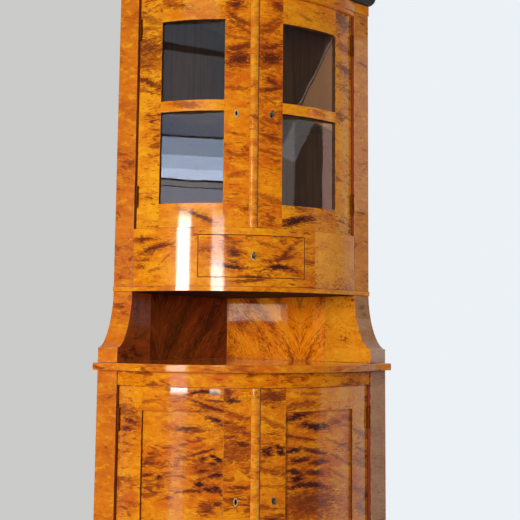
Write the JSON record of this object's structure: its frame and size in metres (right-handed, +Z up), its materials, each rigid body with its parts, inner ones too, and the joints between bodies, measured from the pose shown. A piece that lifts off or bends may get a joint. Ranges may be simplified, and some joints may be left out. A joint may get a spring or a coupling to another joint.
{
  "type": "corner cabinet",
  "caption": "Bow-fronted corner cabinet: panelled base cupboard, open niche on flared cheeks, small drawer, glazed cupboard and dark moulded cornice.",
  "frame": {"origin": "under the middle of the cabinet's box, on the floor", "axes": "+Z up; the bowed front faces -Y; the room's corner is at the back, on +Y; +X is to the viewer's right"},
  "size_m": [0.9626, 0.6796, 2.0993],
  "materials": {
    "flame_birch": "flamed birch veneer under a golden shellac polish, glossy",
    "birch_inside": "stained birch, satin",
    "pine": "bare planed pine, matt",
    "ebonised_wood": "black stained and polished, satin",
    "pane_glass": "clear drawn glass",
    "brass": "pale aged brass",
    "iron": "dark worn iron"
  },
  "bodies": {
    "carcass": {"apron": "flame_birch", "base_back_left": "pine", "base_back_right": "pine", "base_bottom_board": "birch_inside", "base_door_left_hinge_lower": "brass", "base_door_left_hinge_upper": "brass", "base_door_right_hinge_lower": "brass", "base_door_right_hinge_upper": "brass", "base_pilaster_left": "flame_birch", "base_pilaster_right": "flame_birch", "base_plinth": "flame_birch", "base_shelf": "pine", "base_top_rail": "flame_birch", "cornice": "ebonised_wood", "deck_board": "birch_inside", "frieze": "flame_birch", "slab": "flame_birch", "soffit_board": "birch_inside", "top_board": "pine", "upper_back_left": "birch_inside", "upper_back_right": "birch_inside", "upper_cheek_left": "flame_birch", "upper_cheek_right": "flame_birch", "upper_door_left_hinge_lower": "brass", "upper_door_left_hinge_upper": "brass", "upper_door_right_hinge_lower": "brass", "upper_door_right_hinge_upper": "brass", "upper_pilaster_left": "flame_birch", "upper_pilaster_right": "flame_birch", "upper_shelf": "pine"},
    "upper_door_left": {"upper_door_left_frame": "flame_birch", "upper_door_left_pane_lower": "pane_glass", "upper_door_left_pane_upper": "pane_glass", "upper_bead": "flame_birch", "upper_escutcheon_left": "brass"},
    "upper_door_right": {"upper_door_right_frame": "flame_birch", "upper_door_right_pane_lower": "pane_glass", "upper_door_right_pane_upper": "pane_glass", "upper_escutcheon_right": "brass", "upper_lock": "iron"},
    "upper_door_key": {"upper_key": "iron"},
    "upper_door_bolt": {"upper_lock_bolt": "iron"},
    "base_door_left": {"base_door_left_frame": "flame_birch", "base_door_left_panel": "flame_birch", "base_bead": "flame_birch", "base_escutcheon_left": "brass"},
    "base_door_right": {"base_door_right_frame": "flame_birch", "base_door_right_panel": "flame_birch", "base_escutcheon_right": "brass", "base_lock": "iron"},
    "base_door_key": {"base_key": "iron"},
    "base_door_bolt": {"base_lock_bolt": "iron"},
    "drawer": {"drawer_front": "flame_birch", "drawer_box": "pine", "drawer_bottom": "pine", "drawer_escutcheon": "brass", "drawer_lock": "iron"},
    "drawer_key_body": {"drawer_key": "iron"},
    "drawer_bolt": {"drawer_lock_bolt": "iron"}
  },
  "joints": [
    {"name": "upper_door_left_swing", "type": "hinge", "parent": "carcass", "child": "upper_door_left", "pos_m": [-0.35739, -0.10764, 1.6295], "axis": [0, 0, -1], "range_deg": [0, 95]},
    {"name": "upper_door_right_swing", "type": "hinge", "parent": "carcass", "child": "upper_door_right", "pos_m": [0.35739, -0.10764, 1.6295], "axis": [0, 0, 1], "range_deg": [0, 95]},
    {"name": "upper_key_turn", "type": "hinge", "parent": "upper_door_right", "child": "upper_door_key", "pos_m": [0.056, -0.22151, 1.616], "axis": [0.0972, -0.9953, 0], "range_deg": [0, 180]},
    {"name": "upper_bolt_throw", "type": "slide", "parent": "upper_door_right", "child": "upper_door_bolt", "axis": [-0.9953, -0.0972, 0], "range_m": [0, 0.008]},
    {"name": "base_door_left_swing", "type": "hinge", "parent": "carcass", "child": "base_door_left", "pos_m": [-0.39871, -0.15294, 0.42455], "axis": [0, 0, -1], "range_deg": [0, 95]},
    {"name": "base_door_right_swing", "type": "hinge", "parent": "carcass", "child": "base_door_right", "pos_m": [0.39871, -0.15294, 0.42455], "axis": [0, 0, 1], "range_deg": [0, 95]},
    {"name": "base_key_turn", "type": "hinge", "parent": "base_door_right", "child": "base_door_key", "pos_m": [0.056, -0.30401, 0.433], "axis": [0.098, -0.9952, 0], "range_deg": [0, 180]},
    {"name": "base_bolt_throw", "type": "slide", "parent": "base_door_right", "child": "base_door_bolt", "axis": [-0.9952, -0.098, 0], "range_m": [0, 0.008]},
    {"name": "drawer_slide", "type": "slide", "parent": "carcass", "child": "drawer", "axis": [0, -1, 0], "range_m": [0, 0.24]},
    {"name": "drawer_key_turn", "type": "hinge", "parent": "drawer", "child": "drawer_key_body", "pos_m": [0, -0.23624, 1.163], "axis": [0, -1, 0], "range_deg": [0, 180]},
    {"name": "drawer_bolt_throw", "type": "slide", "parent": "drawer", "child": "drawer_bolt", "axis": [0, 0, 1], "range_m": [0, 0.008]}
  ],
  "couplings": [
    {"joint": "upper_key_turn", "follows": "upper_bolt_throw", "rad_per_m": 392.6},
    {"joint": "base_key_turn", "follows": "base_bolt_throw", "rad_per_m": 392.6},
    {"joint": "drawer_key_turn", "follows": "drawer_bolt_throw", "rad_per_m": 392.6}
  ]
}
